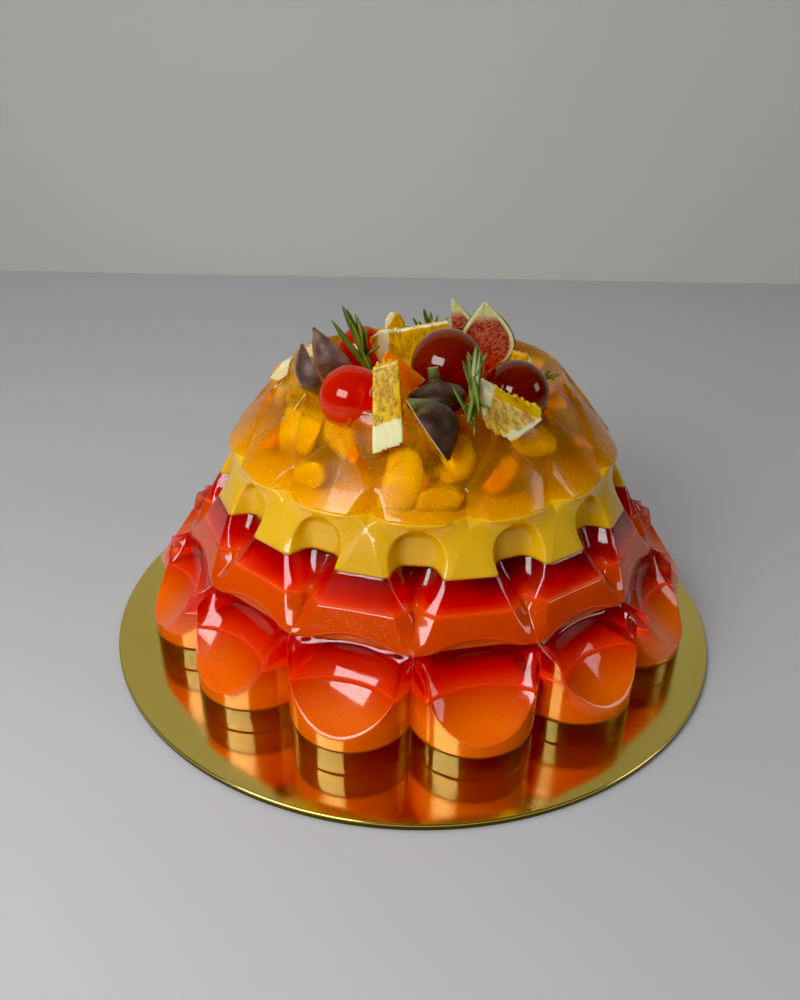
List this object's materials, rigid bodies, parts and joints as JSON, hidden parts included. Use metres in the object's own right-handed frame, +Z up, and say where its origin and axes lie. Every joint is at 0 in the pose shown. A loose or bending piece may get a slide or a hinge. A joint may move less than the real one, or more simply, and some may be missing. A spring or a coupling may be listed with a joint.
{
  "type": "layered jelly dome",
  "caption": "Tall scalloped jelly dome in coloured layers on a round mirror board, its crown piled with jelly balls, orange, fig and rosemary.",
  "frame": {"origin": "middle of the cake board's underside", "axes": "+Z up through the dome, front of the dish (the side with the standing orange piece) towards -Y"},
  "size_m": [0.3, 0.3, 0.1611],
  "materials": {
    "board_gold": "mirror-bright gold foil",
    "base_clear_jelly": "clear jelly, wet gloss",
    "coral_lower_jelly": "cloudy coral jelly, wet gloss",
    "red_lower_jelly": "clear red jelly, wet gloss",
    "coral_upper_jelly": "cloudy coral jelly, wet gloss",
    "red_upper_jelly": "clear red jelly, wet gloss",
    "yellow_layer_jelly": "cloudy yellow jelly, wet gloss",
    "amber_top_jelly": "clear amber jelly, wet gloss",
    "ball_ruby": "clear ruby jelly, wet gloss",
    "orange_pulp": "moist fruit flesh with pith and rind",
    "mandarin_flesh": "glazed fruit flesh",
    "fig_skin": "dark fig skin with a bloom, seedy flesh on the cut",
    "rosemary_leaf": "waxy green leaf"
  },
  "bodies": {
    "root": {"cake_board": "board_gold", "base_clear": "base_clear_jelly", "coral_lower": "coral_lower_jelly", "red_lower": "red_lower_jelly", "coral_upper": "coral_upper_jelly", "red_upper": "red_upper_jelly", "yellow_layer": "yellow_layer_jelly", "amber_top": "amber_top_jelly", "ball_front": "ball_ruby", "ball_centre": "ball_ruby", "ball_right": "ball_ruby", "ball_back": "ball_ruby", "orange_front": "orange_pulp", "orange_right": "orange_pulp", "orange_left": "orange_pulp", "orange_between": "orange_pulp", "orange_back": "orange_pulp", "orange_small": "orange_pulp", "orange_far_right": "orange_pulp", "mandarin_piece": "mandarin_flesh", "fig_left": "fig_skin", "fig_left_back": "fig_skin", "fig_centre": "fig_skin", "fig_front": "fig_skin", "fig_back_left": "fig_skin", "fig_back_right": "fig_skin", "rosemary_left": "rosemary_leaf", "rosemary_front": "rosemary_leaf", "rosemary_back": "rosemary_leaf", "rosemary_right": "rosemary_leaf"}
  },
  "joints": []
}
